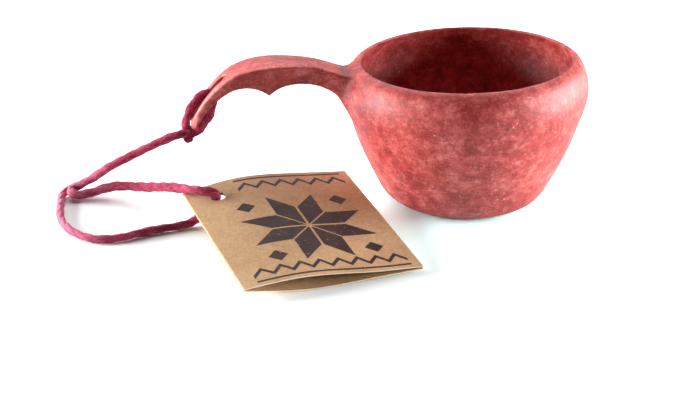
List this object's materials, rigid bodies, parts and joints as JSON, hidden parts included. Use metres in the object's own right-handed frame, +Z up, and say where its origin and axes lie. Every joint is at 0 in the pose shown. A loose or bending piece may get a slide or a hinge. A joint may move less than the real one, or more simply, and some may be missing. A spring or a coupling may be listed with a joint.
{
  "type": "drinking cup",
  "caption": "Round-bellied drinking cup with a curved one-piece handle, a twisted cord loop through the handle's tip and a folded card tag.",
  "frame": {"origin": "centre of the cup's flat foot, on the surface it stands on", "axes": "+Z up, handle points along -X, the tag lies on the -Y side"},
  "size_m": [0.2044, 0.1342, 0.057],
  "materials": {
    "cup_composite": "moulded wood-fibre composite, mottled red, satin",
    "cord_yarn": "loosely twisted yarn, magenta",
    "tag_card": "brown kraft card with a dark block print"
  },
  "bodies": {
    "cup_body": {"cup": "cup_composite"},
    "sling": {"cord_sling": "cord_yarn", "cord_knot": "cord_yarn", "cord_end": "cord_yarn"},
    "run": {"cord_run_front": "cord_yarn", "cord_run_rear": "cord_yarn"},
    "loop": {"cord_turn": "cord_yarn", "cord_bend": "cord_yarn", "cord_upper_strand": "cord_yarn", "cord_lower_strand": "cord_yarn", "cord_bight": "cord_yarn"},
    "tag_back": {"tag_back_leaf": "tag_card", "tag_crease": "tag_card"},
    "tag_front": {"tag_front_leaf": "tag_card"}
  },
  "joints": [
    {"name": "sling_swing", "type": "hinge", "parent": "cup_body", "child": "sling", "pos_m": [-0.10336, 0, 0.03334], "axis": [0, 1, 0], "range_deg": [-3, 50]},
    {"name": "run_swing", "type": "hinge", "parent": "sling", "child": "run", "pos_m": [-0.10597, 0, 0.02844], "axis": [0, 0, 1], "range_deg": [-60, 3]},
    {"name": "loop_fold", "type": "hinge", "parent": "run", "child": "loop", "pos_m": [-0.1472, 0.0104, 0.005], "axis": [0, 0, 1], "range_deg": [-75, 3], "deforming": ["cord_turn", "cord_bend"]},
    {"name": "tag_swing", "type": "hinge", "parent": "loop", "child": "tag_back", "pos_m": [-0.09548, -0.02246, 0.009], "axis": [0.032, -0.0586, 0.9978], "range_deg": [-25, 4], "deforming": ["cord_bight"]},
    {"name": "tag_open", "type": "hinge", "parent": "tag_back", "child": "tag_front", "pos_m": [-0.0869, -0.0876, 0.0049], "axis": [0.2867, -0.9558, -0.0653], "range_deg": [0, 30]}
  ]
}
